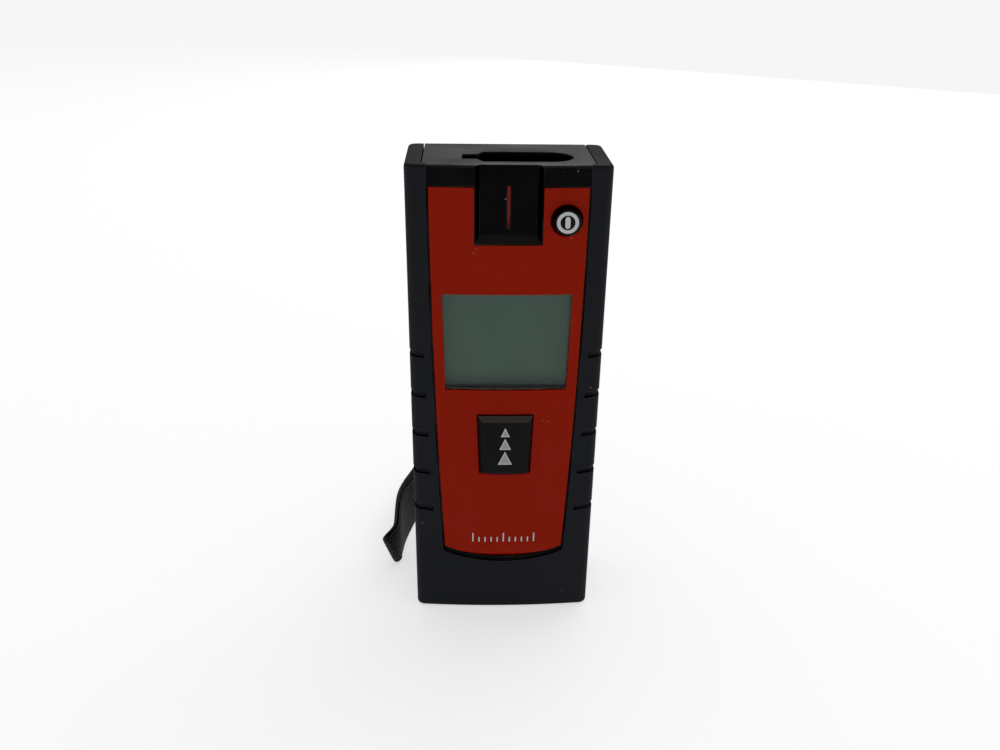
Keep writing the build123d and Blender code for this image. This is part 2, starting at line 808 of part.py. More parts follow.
lens_ball = ((lens_radius**2) + (lens_bulge**2)) / (2 * lens_bulge)
lens = rod_up(lens_radius, lens_x, opening_depth, lens_seat_z, lens_seat_z + lens_rim + lens_bulge)
lens &= Pos(lens_x, y_at(opening_depth), lens_seat_z + lens_rim + lens_bulge - lens_ball) * Sphere(lens_ball)
parts["receiver_lens"] = lens

barrel = rod_up(barrel_radius, laser_x, opening_depth, barrel_low, barrel_high)
barrel -= rod_up(diode_flange_radius + bore_gap, laser_x, opening_depth, barrel_low - 1, barrel_low + 1.5)
barrel -= rod_up(diode_can_radius + bore_gap, laser_x, opening_depth, barrel_low, barrel_high)
collimator_low = barrel_high - collimator_thickness - 0.4
barrel -= rod_up(collimator_radius + bore_gap, laser_x, opening_depth, collimator_low, barrel_high + 1)
parts["laser_barrel"] = barrel
collimator = rod_up(collimator_radius, laser_x, opening_depth, collimator_low, collimator_low + 1.2)
dome_ball = Pos(laser_x, y_at(opening_depth), collimator_low - 2.2) * Sphere(4.3)
collimator += rod_up(collimator_radius, laser_x, opening_depth, collimator_low, barrel_high) & dome_ball
parts["collimator_lens"] = collimator

flange_top = barrel_low + 1.5
diode = rod_up(diode_flange_radius, laser_x, opening_depth, flange_top - diode_flange_thickness, flange_top)
diode += rod_up(diode_can_radius, laser_x, opening_depth, flange_top, flange_top + diode_can_length)
flex_top = block_low - 0.1
for turn in range(3):
    angle = math.radians(90 + turn * 120)
    pin_plan = Pos(laser_x + 1.27 * math.cos(angle), y_at(opening_depth) + 1.27 * math.sin(angle)) * Circle(0.25)
    diode += upright(pin_plan, flex_top, flange_top - diode_flange_thickness + 0.1)
parts["laser_diode"] = diode

receiver_top = block_low
receiver_low = receiver_top - 1.0
parts["receiver_board"] = brick(-2.5, 10.5, board_back + flex_thickness, 16.0, receiver_low, receiver_top)
parts["photodiode"] = rod_up(detector_radius, lens_x, opening_depth, receiver_top, receiver_top + detector_height)
flex_low = board_high - 6.0
laser_flex = rod_up(3.0, laser_x, opening_depth, flex_top - flex_thickness, flex_top)
laser_flex += brick(
    laser_x - 2, laser_x + 2, board_back, opening_depth, flex_top - flex_thickness, flex_top
)
laser_flex += brick(laser_x - 2, laser_x + 2, board_back, board_back + flex_thickness, flex_low, flex_top)
parts["laser_flex"] = laser_flex
parts["receiver_flex"] = brick(
    lens_x - 2, lens_x + 2, board_back, board_back + flex_thickness, flex_low, receiver_top
)


# ---------------------------------------------------------------- screws
def screw_at(x, z, radius, tip, seat, head_radius, head_height):
    """Pan-head screw driven in from the back, with a cross recess."""
    screw = rod_back(radius, x, z, tip, seat) + rod_back(head_radius, x, z, seat, seat + head_height)
    slot = head_radius * 1.2
    cross = Rectangle(slot, slot * 0.22) + Rectangle(slot * 0.22, slot)
    return screw - through(Pos(x, z) * cross, seat + head_height * 0.45, seat + head_height + 1)


def screw_set(places, radius, tip, seat, head_radius, head_height):
    screws = [screw_at(x, z, radius, tip, seat, head_radius, head_height) for x, z in places]
    return Compound(children=[solid for screw in screws for solid in screw.solids()])


shell_tip = shell_screw_seat - shell_screw_length
parts["shell_screws"] = screw_set(
    boss_places, shell_screw_radius, shell_tip, shell_screw_seat, shell_head_radius, shell_head_height
)
parts["board_screws"] = screw_set(
    post_places, small_screw_radius, board_front - 3.0, board_back, small_head_radius, small_head_height
)
parts["optics_screws"] = screw_set(
    optics_places, small_screw_radius, plate_back + 1.0, block_back, small_head_radius, small_head_height
)


# ---------------------------------------------------------------- cells
def make_cell(x, nub_up):
    """Small round cell, its positive nub up or down."""
    if nub_up:
        low = tray_floor_z + contact_thickness + spring_length
        body_low, nub_low = low, low + cell_length - nub_length
    else:
        low = tray_floor_z + contact_thickness + dimple_height
        body_low, nub_low = low + nub_length, low
    cell = rod_up(cell_radius, x, cell_depth, body_low, body_low + cell_length - nub_length)
    rims = cell.edges().filter_by(GeomType.CIRCLE)
    cell = fillet(rims, 0.4)
    return cell + rod_up(nub_radius, x, cell_depth, nub_low - 0.1, nub_low + nub_length + 0.1) - _beyond(x, nub_up)


def _beyond(x, nub_up):
    """What the nub may not pass: the face of the dimple that it rests on."""
    if nub_up:
        top = tray_floor_z + contact_thickness + spring_length + cell_length
        return rod_up(nub_radius + 1, x, cell_depth, top, top + 1)
    low = tray_floor_z + contact_thickness + dimple_height
    return rod_up(nub_radius + 1, x, cell_depth, low - 1, low)


parts["left_cell"] = make_cell(-cell_x, True)
parts["right_cell"] = make_cell(cell_x, False)

tray = brick(
    -tray_outer_half, tray_outer_half, tray_front - tray_front_wall, cavity_back, tray_floor_z - tray_wall,
    tray_ceiling_z + tray_wall,
)
tray -= brick(
    -tray_half_inside, tray_half_inside, tray_front, cavity_back + 1, tray_floor_z, tray_ceiling_z
)
upper_plate_low = tray_ceiling_z - contact_thickness
for x in (-cell_x, cell_x):
    tray -= brick(
        x - tab_width / 2 - tab_gap, x + tab_width / 2 + tab_gap, tray_front - 2, tray_front + 1,
        upper_plate_low - tab_gap, tray_ceiling_z,
    )
parts["battery_tray"] = tray


def contact_plate(left, right, low):
    return brick(left, right, tray_front + 0.6, cavity_back - 0.4, low, low + contact_thickness)


def board_tab(x):
    """Tab from an upper contact forward to the circuit board."""
    return brick(
        x - tab_width / 2, x + tab_width / 2, board_back, tray_front + 1, upper_plate_low, tray_ceiling_z
    )


def dimple(x, low):
    return rod_up(dimple_radius, x, cell_depth, low, low + dimple_height)


bridge_top = tray_floor_z + contact_thickness
bridge = contact_plate(-tray_half_inside + 0.4, tray_half_inside - 0.4, tray_floor_z)
parts["bridge_contact"] = bridge + dimple(cell_x, bridge_top)
plus = contact_plate(-tray_half_inside + 0.4, -0.6, upper_plate_low) + board_tab(-cell_x)
parts["plus_contact"] = plus + dimple(-cell_x, upper_plate_low - dimple_height)
parts["minus_contact"] = contact_plate(0.6, tray_half_inside - 0.4, upper_plate_low) + board_tab(cell_x)


def coil_spring(x, low):
    """Short coil of round wire, pressed between a cell and its contact."""
    pitch = (spring_length - 2 * spring_wire) / spring_turns
    path = Helix(pitch, spring_turns * pitch, spring_radius)
    start = Plane(origin=path @ 0, z_dir=path % 0)
    coil = sweep(start * Circle(spring_wire), path=path, is_frenet=True)
    return Pos(x, y_at(cell_depth), low + spring_wire) * coil


parts["cell_springs"] = Compound(
    children=[
        coil_spring(-cell_x, bridge_top), coil_spring(cell_x, upper_plate_low - spring_length)
    ]
)


# ---------------------------------------------------------------- battery door
def make_door():
    """Door that swings out about two pins moulded at its lower edge."""
    panel = brick(
        -door_half_width, door_half_width, depth - door_thickness, depth, hinge_z, door_high
    )
    roll_plane = Plane(origin=(-door_half_width, y_at(hinge_depth), hinge_z), z_dir=(1, 0, 0))
    panel += extrude(roll_plane * Circle(door_thickness / 2), amount=2 * door_half_width)
    pin_reach = door_half_width + hinge_pin_length
    pin_plane = Plane(origin=(-pin_reach, y_at(hinge_depth), hinge_z), z_dir=(1, 0, 0))
    panel += extrude(pin_plane * Circle(hinge_pin_radius), amount=2 * pin_reach)
    scoop_z = door_high - 7.0
    scoop = Pos(0, y_at(depth - latch_scoop_depth + latch_scoop_radius), scoop_z) * Sphere(latch_scoop_radius)
    panel -= scoop
    for number in range(3):
        low = scoop_z - 9.0 - number * 2.0
        panel -= brick(-5.0, 5.0, depth - 0.35, depth + 1, low, low + 0.8)
    return panel


parts["battery_door"] = make_door()
parts["type_label"] = brick(
    -label_half_width + 0.1, label_half_width - 0.1, depth - label_thickness, depth - 0.05, label_low + 0.1,
    label_high - 0.1,
)

# ---------------------------------------------------------------- wrist strap
parts["strap_pin"] = strap_pin

eye = strap_pin_radius + strap_thickness / 2 + fit_gap
eye_y = y_at(strap_pin_depth)
strap_route = [
    (strap_pin_x, eye_y - eye),
    (strap_pin_x + eye, eye_y - eye),
    (strap_pin_x + eye, eye_y + 4.5),
    (-14.8, 23.5),
    (-12.4, 33.5),
    (-5.0, 43.0),
    (3.5, 53.5),
    (9.5, 65.5),
    (8.5, 77.5),
    (-1.0, 83.5),
    (-12.0, 77.0),
    (-20.5, 63.0),
    (-25.2, 48.0),
    (-29.0, 36.2),
    (-30.2, 27.0),
    (-30.1, 19.0),
    (-30.5, 13.0),
    (-32.5, 6.6),
    (-31.0, 5.4),
    (-28.8, 11.5),
    (-28.3, 18.5),
    (-27.0, 26.0),
    (-24.2, 35.5),
    (-19.0, 47.5),
    (-13.0, 59.5),
    (-5.0, 68.5),
    (1.5, 67.0),
    (1.5, 58.0),
    (-4.5, 48.5),
    (-11.5, 39.0),
    (-16.8, 30.0),
    (-18.7, 22.5),
    (strap_pin_x - eye, eye_y + 4.0),
    (strap_pin_x - eye, eye_y - eye),
    (strap_pin_x - 0.3, eye_y - eye),
]


def bend_radii(route):
    """One radius for each inner point, as large as its two runs allow."""
    radii = []
    for before, here, after in zip(route, route[1:], route[2:]):
        arriving = Vector(here[0] - before[0], here[1] - before[1], 0)
        leaving = Vector(after[0] - here[0], after[1] - here[1], 0)
        half_turn = math.radians(arriving.get_angle(leaving)) / 2
        shorter = min(arriving.length, leaving.length)
        radii.append(0.45 * shorter / math.tan(half_turn))
    return radii


radii = bend_radii(strap_route)
print("strap bend radii", [round(radius, 1) for radius in radii])
strap_line = FilletPolyline(*strap_route, radius=radii)
print("strap length", round(strap_line.length, 1))
strap_face = trace(strap_line, strap_thickness)
strap = upright(strap_face, strap_low, strap_low + strap_width)
parts["wrist_strap"] = strap

os.makedirs("parts", exist_ok=True)
for name, shape in parts.items():
    export_step(shape, "parts/" + name + ".step")
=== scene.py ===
"""Laser distance meter: the looks of a hand-held instrument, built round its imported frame.

Metres, in the frame's own axes: +Z points up along the beam, the display looks towards -Y.
"""

import math

import bmesh
import bpy
from mathutils import Euler, Matrix, Vector


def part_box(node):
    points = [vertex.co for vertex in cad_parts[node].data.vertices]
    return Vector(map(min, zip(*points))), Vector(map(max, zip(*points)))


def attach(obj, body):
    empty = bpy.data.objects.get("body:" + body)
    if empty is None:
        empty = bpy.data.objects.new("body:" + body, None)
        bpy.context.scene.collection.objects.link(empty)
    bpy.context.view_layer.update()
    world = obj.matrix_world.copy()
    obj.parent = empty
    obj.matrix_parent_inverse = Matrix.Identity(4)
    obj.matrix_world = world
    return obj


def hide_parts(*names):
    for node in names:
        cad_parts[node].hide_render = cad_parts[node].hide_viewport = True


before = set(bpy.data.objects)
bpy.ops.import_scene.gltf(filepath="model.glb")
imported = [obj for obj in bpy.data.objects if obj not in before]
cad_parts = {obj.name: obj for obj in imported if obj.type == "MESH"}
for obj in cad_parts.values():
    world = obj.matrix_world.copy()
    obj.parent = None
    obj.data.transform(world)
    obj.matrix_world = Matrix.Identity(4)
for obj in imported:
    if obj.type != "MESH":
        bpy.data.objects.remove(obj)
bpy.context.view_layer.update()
MM = 0.001

# ---------------------------------------------------------------- camera
# View from the front and a little above, as one looks at the instrument standing on a table.  It is
# turned slightly to the right and rolled by less than a degree.
CAMERA_PLACE = (-10.82 * MM, -246.83 * MM, 168.52 * MM)
LENS_LENGTH = 37.21
LOOKS_DOWN, LOOKS_RIGHT, ROLLED = 23.14, 2.28, 0.86
bpy.ops.object.select_all(action="DESELECT")
bpy.ops.object.camera_add(location=CAMERA_PLACE)
camera = bpy.context.object
camera.name = "camera"
camera.data.sensor_width = 36.0
camera.data.lens = LENS_LENGTH
camera.data.clip_start = 0.01
look = Euler((math.radians(90 - LOOKS_DOWN), 0, math.radians(-LOOKS_RIGHT))).to_matrix()
roll = Matrix.Rotation(math.radians(ROLLED), 3, "Z")
camera.rotation_euler = (look @ roll).to_euler()
bpy.context.scene.camera = camera

# ---------------------------------------------------------------- wrist strap
# Flat ribbed webbing, woven from black polyester, 10 mm wide.  One loop goes round the steel pin in
# the back, its two ends meet at the pin, and it stands on edge where it lies on the table.
STRAP_WIDTH = 10.0 * MM
STRAP_THICKNESS = 1.0 * MM
STRAP_RIBS = 8
STEPS_ACROSS = 40
WEAVE_SCALE = 100
PIN_MIDDLE = 8.6
ON_TABLE = 5.0
strap_route = [
    (-16.9, 10.475, PIN_MIDDLE), (-15.05, 10.475, PIN_MIDDLE), (-15.05, 16.825, PIN_MIDDLE),
    (-14.8, 23.5, 7.6), (-12.4, 33.5, 5.6), (-5.0, 43.0, ON_TABLE), (3.5, 53.5, ON_TABLE),
    (9.5, 65.5, ON_TABLE), (8.5, 77.5, ON_TABLE), (-1.0, 83.5, ON_TABLE), (-12.0, 77.0, ON_TABLE),
    (-20.5, 63.0, ON_TABLE), (-24.8, 48.0, ON_TABLE), (-28.3, 37.0, ON_TABLE), (-29.3, 28.0, ON_TABLE),
    (-30.0, 19.0, ON_TABLE), (-30.2, 12.8, ON_TABLE), (-32.1, 7.8, ON_TABLE), (-30.9, 6.6, ON_TABLE),
    (-28.9, 12.0, ON_TABLE), (-28.75, 19.0, ON_TABLE), (-28.0, 27.0, ON_TABLE), (-26.3, 36.0, ON_TABLE),
    (-20.5, 47.5, ON_TABLE), (-13.0, 59.5, ON_TABLE), (-5.0, 68.5, ON_TABLE), (1.5, 67.0, ON_TABLE),
    (1.5, 58.0, ON_TABLE), (-4.5, 48.5, ON_TABLE), (-11.5, 39.0, 5.2), (-16.8, 30.0, 6.0),
    (-18.7, 22.5, 7.4), (-18.75, 16.325, 8.4), (-18.75, 10.475, PIN_MIDDLE), (-17.2, 10.475, PIN_MIDDLE),
]


def route_line(points, name, steps):
    """Points along the smooth curve that the strap's middle follows."""
    curve = bpy.data.curves.new(name, "CURVE")
    curve.dimensions = "3D"
    spline = curve.splines.new("NURBS")
    spline.points.add(len(points) - 1)
    for point, (x, y, z) in zip(spline.points, points):
        point.co = (x * MM, y * MM, z * MM, 1.0)
    spline.order_u = 3
    spline.use_endpoint_u = True
    spline.resolution_u = steps
    carrier = bpy.data.objects.new(name, curve)
    mesh = bpy.data.meshes.new_from_object(carrier)
    line = [vertex.co.copy() for vertex in mesh.vertices]
    bpy.data.objects.remove(carrier)
    bpy.data.meshes.remove(mesh)
    return line


def spaced(line, step):
    """The same line, as points an even step apart."""
    out = [line[0]]
    left = step
    for start, end in zip(line, line[1:]):
        run = (end - start).length
        at = left
        while at <= run:
            out.append(start.lerp(end, at / run))
            at += step
        left = at - run
    return out


def smooth_step(low, high, value):
    """Rises from 0 to 1 between two values, level at both ends."""
    t = min(1.0, max(0.0, (value - low) / (high - low)))
    return t * t * (3 - 2 * t)


def strap_lean(point):
    """How far the upper edge leans out, per height: more towards the back, and at the fold forward."""
    beside = smooth_step(-18 * MM, -23 * MM, point.x)
    fold = beside * smooth_step(13 * MM, 8 * MM, point.y)
    outward = 0.05 + 0.28 * smooth_step(13 * MM, 33 * MM, point.y)
    return Vector((-outward * beside - 0.24 * fold, -0.38 * fold, 0))


def webbing_band(name, line, width, thickness):
    """Band on edge, with eight ribs along it between rounded selvedges."""
    outline = []
    for face in (1, -1):
        for number in range(STEPS_ACROSS + 1):
            height = face * (2 * number / STEPS_ACROSS - 1)
            rounded = math.sqrt(max(0.0, 1 - abs(height) ** 12))
            rib = 0.86 + 0.14 * abs(math.sin(math.pi * STRAP_RIBS * (height + 1) / 2))
            outline.append((height, max(0.25, rounded) * rib, face))
    mesh = bpy.data.meshes.new(name)
    work = bmesh.new()
    uv = work.loops.layers.uv.new("weave")
    rings, travelled = [], []
    way = 0.0
    for i, point in enumerate(line):
        before, after = line[max(i - 1, 0)], line[min(i + 1, len(line) - 1)]
        if i:
            way += (point - line[i - 1]).length
        along = (after - before).normalized()
        side = Vector((0, 0, 1)).cross(along).normalized()
        up = Vector((0, 0, 1)) + strap_lean(point)
        ring = []
        for h, plump, face in outline:
            half = thickness / 2 * plump
            ring.append(work.verts.new(point + up * h * width / 2 + side * face * half))
        rings.append(ring)
        travelled.append(way)
    count = len(outline)
    around = [0.0]
    for (h0, f0, s0), (h1, f1, s1) in zip(outline, outline[1:] + outline[:1]):
        step = math.hypot((h1 - h0) * width / 2, (f1 * s1 - f0 * s0) * thickness / 2)
        around.append(around[-1] + step)
    for i in range(len(rings) - 1):
        for k in range(count):
            corners = (
                (rings[i][k], i, k), (rings[i + 1][k], i + 1, k),
                (rings[i + 1][(k + 1) % count], i + 1, k + 1), (rings[i][(k + 1) % count], i, k + 1),
            )
            face = work.faces.new([c[0] for c in corners])
            face.smooth = True
            for loop, (_, ring_number, k_number) in zip(face.loops, corners):
                loop[uv].uv = (travelled[ring_number] * WEAVE_SCALE, around[k_number] * WEAVE_SCALE)
    work.faces.new(list(reversed(rings[0])))
    work.faces.new(rings[-1])
    bmesh.ops.recalc_face_normals(work, faces=work.faces)
    work.to_mesh(mesh)
    work.free()
    band = bpy.data.objects.new(name, mesh)
    bpy.context.scene.collection.objects.link(band)
    return band


def node(tree, kind, **values):
    """Adds a shader node and sets its inputs and settings by name."""
    new = tree.nodes.new(kind)
    for key, value in values.items():
        if key in new.inputs:
            new.inputs[key].default_value = value
        else:
            setattr(new, key, value)
    return new


def finish_named(name, colour, roughness, specular=0.5, metallic=0.0):
    """A material with its shader, to which the detail of the surface is then added."""
    material = bpy.data.materials.new(name)
    material.use_nodes = True
    shader = material.node_tree.nodes["Principled BSDF"]
    shader.inputs["Base Color"].default_value = (*colour, 1)
    shader.inputs["Roughness"].default_value = roughness
    shader.inputs["Specular IOR Level"].default_value = specular
    shader.inputs["Metallic"].default_value = metallic
    return material, material.node_tree, shader


def joined(tree, operation, first, second):
    """Joins two shader values into their product or the greater of the two."""
    result = node(tree, "ShaderNodeMath", operation=operation)
    tree.links.new(first, result.inputs[0])
    tree.links.new(second, result.inputs[1])
    return result.outputs[0]


def woven_webbing():
    """Black polyester yarn: crossing rows of small floats, a soft sheen, and pale lint on the ribs."""
    material, tree, shader = finish_named("webbing", (0.008, 0.008, 0.009), 0.75, specular=0.3)
    shader.inputs["Sheen Weight"].default_value = 0.12
    shader.inputs["Sheen Roughness"].default_value = 0.4
    shader.inputs["Sheen Tint"].default_value = (0.4, 0.4, 0.45, 1)
    link = tree.links.new
    weave_map = node(tree, "ShaderNodeUVMap", uv_map="weave")
    across = node(tree, "ShaderNodeTexWave", Scale=6.0, Distortion=1.0, bands_direction="Y")
    along = node(tree, "ShaderNodeTexWave", Scale=4.0, Distortion=1.6, bands_direction="DIAGONAL")
    link(weave_map.outputs["UV"], across.inputs["Vector"])
    link(weave_map.outputs["UV"], along.inputs["Vector"])
    yarn = joined(tree, "MULTIPLY", across.outputs["Fac"], along.outputs["Fac"])
    bump = node(tree, "ShaderNodeBump", Strength=0.7, Distance=0.00012)
    link(yarn, bump.inputs["Height"])
    link(bump.outputs["Normal"], shader.inputs["Normal"])
    place = node(tree, "ShaderNodeTexCoord")
    lint = node(tree, "ShaderNodeTexNoise", Scale=900.0, Detail=3.0)
    link(place.outputs["Object"], lint.inputs["Vector"])
    few = node(tree, "ShaderNodeMapRange")
    few.inputs["From Min"].default_value = 0.56
    few.inputs["From Max"].default_value = 0.8
    link(lint.outputs["Fac"], few.inputs["Value"])
    shade = node(tree, "ShaderNodeMix", data_type="RGBA")
    shade.inputs["A"].default_value = (0.012, 0.0145, 0.0165, 1)
    shade.inputs["B"].default_value = (0.06, 0.06, 0.065, 1)
    link(few.outputs["Result"], shade.inputs["Factor"])
    link(shade.outputs["Result"], shader.inputs["Base Color"])
    return material


strap_middle = spaced(route_line(strap_route, "strap_route", 60), 0.5 * MM)
strap = webbing_band("wrist_loop", strap_middle, STRAP_WIDTH, STRAP_THICKNESS)
strap.data.materials.append(woven_webbing())
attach(strap, "root")
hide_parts("wrist_strap")

# ---------------------------------------------------------------- front and rear shell
# Two hard black mouldings of glass-filled polyamide, split at half depth.  They carry every other
# piece, show as the bezel round the red plate and as the land down the back, and have a fine grain.
# Front ledges have dust and painted light from above; the rear shell is a paler, glossier copy: painted
# light on the back.
# Pale mix colour: dust, and the painted highlights and painted light of edges and ledges.
DUST_AND_LIGHT_COLOUR = (0.36, 0.345, 0.32)
WEAR_AND_HIGHLIGHT_EDGE = 0.45 * MM
MERGE_WITHIN = 0.001 * MM
FLAT_WITHIN = math.radians(0.5)
SMOOTH_BELOW = math.radians(40)


def dark_plastic(
    name, colour, roughness, specular, grain_per_metre, grain_depth, dusty, wear_and_highlight=0.0, ledges=0.0
):
    """Moulded plastic or rubber: fine grain, slow changes of gloss, dust, and paler edges and ledges, where
    a painted highlight and painted light from above join the wear and dust.
    """
    material, tree, shader = finish_named(name, colour, roughness, specular=specular)
    link = tree.links.new
    place = node(tree, "ShaderNodeTexCoord")
    grain = node(tree, "ShaderNodeTexNoise", Scale=grain_per_metre, Detail=4.0, Roughness=0.6)
    handled = node(tree, "ShaderNodeTexNoise", Scale=70.0, Detail=3.0)
    speck = node(tree, "ShaderNodeTexVoronoi", Scale=420.0, feature="F1")
    scatter = node(tree, "ShaderNodeTexNoise", Scale=95.0, Detail=2.0)
    for texture in (grain, handled, speck, scatter):
        link(place.outputs["Object"], texture.inputs["Vector"])
    bump = node(tree, "ShaderNodeBump", Strength=0.5, Distance=grain_depth)
    link(grain.outputs["Fac"], bump.inputs["Height"])
    link(bump.outputs["Normal"], shader.inputs["Normal"])
    gloss = spread(tree, handled.outputs["Fac"], 0.3, 0.7, roughness - 0.07, roughness + 0.07)
    link(gloss, shader.inputs["Roughness"])
    near = spread(tree, speck.outputs["Distance"], 0.10, 0.05, 0.0, 1.0)
    some = spread(tree, scatter.outputs["Fac"], 0.60, 0.66, 0.0, dusty)
    dust = joined(tree, "MULTIPLY", near, some)
    film = spread(tree, handled.outputs["Fac"], 0.35, 0.8, 0.0, 0.03 * dusty)
    pale = joined(tree, "MAXIMUM", dust, film)
    # Paler rounded edges: wear, with a painted highlight along them.
    if wear_and_highlight:
        rounded = node(tree, "ShaderNodeBevel", samples=4, Radius=WEAR_AND_HIGHLIGHT_EDGE)
        flat = node(tree, "ShaderNodeNewGeometry")
        facing = node(tree, "ShaderNodeVectorMath", operation="DOT_PRODUCT")
        link(rounded.outputs["Normal"], facing.inputs[0])
        link(flat.outputs["Normal"], facing.inputs[1])
        edge = spread(tree, facing.outputs["Value"], 0.985, 0.86, 0.0, wear_and_highlight)
        patchy = spread(tree, scatter.outputs["Fac"], 0.38, 0.62, 0.15, 1.0)
        pale = joined(tree, "MAXIMUM", pale, joined(tree, "MULTIPLY", edge, patchy))
    # Paler faces that turn up: dust, with painted light from above.
    if ledges:
        upright = node(tree, "ShaderNodeSeparateXYZ")
        link(place.outputs["Normal"], upright.inputs["Vector"])
        dust_and_top_light = spread(tree, upright.outputs["Z"], 0.15, 0.5, 0.0, ledges)
        pale = joined(tree, "MAXIMUM", pale, dust_and_top_light)
    shade = node(tree, "ShaderNodeMix", data_type="RGBA")
    shade.inputs["A"].default_value = (*colour, 1)
    shade.inputs["B"].default_value = (*DUST_AND_LIGHT_COLOUR, 1)
    link(pale, shade.inputs["Factor"])
    link(shade.outputs["Result"], shader.inputs["Base Color"])
    return material


def spread(tree, value, low, high, at_low, at_high):
    """Maps a shader value from one range to another, held at both ends."""
    ranged = node(tree, "ShaderNodeMapRange")
    ranged.inputs["From Min"].default_value = low
    ranged.inputs["From Max"].default_value = high
    ranged.inputs["To Min"].default_value = at_low
    ranged.inputs["To Max"].default_value = at_high
    tree.links.new(value, ranged.inputs["Value"])
    return ranged.outputs["Result"]


def coat(material, *nodes):
    """Gives carried-over pieces of the frame their finish."""
    for name in nodes:
        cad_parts[name].material_slots[0].material = material


def select_where(piece, kind, test):
    """Selects a piece's edges or faces, by place or direction, and leaves it in edit mode."""
    bpy.ops.object.mode_set(mode="EDIT")
    bpy.ops.mesh.select_mode(type=kind)
    bpy.ops.mesh.select_all(action="DESELECT")
    bpy.ops.object.mode_set(mode="OBJECT")
    for item in piece.data.edges if kind == "EDGE" else piece.data.polygons:
        item.select = test(item)
    bpy.ops.object.mode_set(mode="EDIT")


def finer(source, name, material, body, edge_round, sharp=35, segments=2, shape=None):
    """A finished moulding made over a piece of the frame: the same form with every sharp edge rounded."""
    piece = bpy.data.objects.new(name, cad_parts[source].data.copy())
    bpy.context.scene.collection.objects.link(piece)
    bpy.ops.object.select_all(action="DESELECT")
    piece.select_set(True)
    bpy.context.view_layer.objects.active = piece
    piece.data.materials.clear()
    piece.data.materials.append(material)
    bpy.ops.object.mode_set(mode="EDIT")
    bpy.ops.mesh.select_mode(type="VERT")
    bpy.ops.mesh.select_all(action="SELECT")
    bpy.ops.mesh.remove_doubles(threshold=MERGE_WITHIN)
    bpy.ops.mesh.customdata_custom_splitnormals_clear()
    bpy.ops.mesh.dissolve_limited(angle_limit=FLAT_WITHIN)
    bpy.ops.mesh.select_mode(type="EDGE")
    bpy.ops.mesh.select_all(action="DESELECT")
    bpy.ops.mesh.edges_select_sharp(sharpness=math.radians(sharp))
    bpy.ops.mesh.bevel(
        offset=edge_round, segments=segments, profile=0.5, clamp_overlap=False, loop_slide=False
    )
    bpy.ops.object.mode_set(mode="OBJECT")
    if shape:
        shape(piece)
    bpy.ops.object.select_all(action="DESELECT")
    piece.select_set(True)
    bpy.context.view_layer.objects.active = piece
    bpy.ops.object.shade_smooth_by_angle(angle=SMOOTH_BELOW)
    bpy.ops.object.modifier_add(type="WEIGHTED_NORMAL")
    piece.modifiers[-1].keep_sharp = True
    bpy.ops.object.modifier_apply(modifier=piece.modifiers[-1].name)
    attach(piece, body)
    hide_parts(source)


hard_shell = dark_plastic(
    "hard_shell", (0.0016, 0.0016, 0.0017), 0.42, 0.08, 5200.0, 0.00003, 0.5, wear_and_highlight=0.10,
    ledges=0.045,
)
coat(hard_shell, "front_shell")
# A paler, glossier copy of the black plastic, for the back: painted light.
rear_shell_painted_light = dark_plastic(
    "rear_shell_painted_light", (0.012, 0.012, 0.0125), 0.5, 0.4, 5200.0, 0.00005, 0.6, wear_and_highlight=0.16, ledges=0.05,
)
finer("rear_shell", "rear_moulding", rear_shell_painted_light, "root", 0.12 * MM)
seal_black = dark_plastic("seal_black", (0.01, 0.01, 0.01), 0.6, 0.3, 3000.0, 0.00001, 0.0)
coat(seal_black, "shell_seal", "key_seals", "window_seal", "display_gasket")

# ---------------------------------------------------------------- end cap
# Black cap let into the top between the grips, with a shut line each side.  The beams leave through
# the keyhole opening and its tube.
# Its edges are paler: wear, with a painted highlight.
cap_black = dark_plastic(
    "cap_black", (0.0105, 0.0105, 0.0102), 0.55, 0.20, 4200.0, 0.00004, 0.9, wear_and_highlight=0.22,
)
finer("top_cap", "end_cap", cap_black, "root", 0.14 * MM)

# ---------------------------------------------------------------- rubber grips
# Thermoplastic rubber moulded over both shells, softer and bluer than the shells, with five short
# slanting notches down each front corner for the fingers.
grip_rubber = dark_plastic(
    "grip_rubber", (0.0078, 0.0090, 0.0120), 0.72, 0.17, 3600.0, 0.00006, 0.6, wear_and_highlight=0.06,
)
finer("front_grip", "front_rubber", grip_rubber, "root", 0.10 * MM, sharp=60)
finer("rear_grip", "rear_rubber", grip_rubber, "root", 0.14 * MM)

# ---------------------------------------------------------------- red face plate
# Painted plate let into the front, flush with the crown.  Its lower edge is drawn back in a lip, and
# the display, both keys and the sight channel show through it.
FOLD_HEIGHT = 19.1 * MM
FOLD_ROUND = 0.5 * MM


def fold_of_lip(piece):
    """Rounds the fold between the crowned face and the lip into one soft bend."""
    points = piece.data.vertices

    def on_fold(edge):
        ends = [points[i].co for i in edge.vertices]
        level = all(abs(end.z - FOLD_HEIGHT) < 0.02 * MM for end in ends)
        return level and all(end.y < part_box("face_plate")[0].y + 0.9 * MM for end in ends)

    select_where(piece, "EDGE", on_fold)
    bpy.ops.mesh.bevel(offset=FOLD_ROUND, segments=4, profile=0.5, clamp_overlap=True)
    bpy.ops.object.mode_set(mode="OBJECT")


# Its edges are a little paler: wear, with a painted highlight.
red_paint = dark_plastic(
    "red_paint", (0.256, 0.0090, 0.0012), 0.36, 0.08, 900.0, 0.00001, 0.3, wear_and_highlight=0.04,
)
finer(
    "face_plate", "red_plate", red_paint, "root", 0.16 * MM, segments=3, shape=fold_of_lip
)

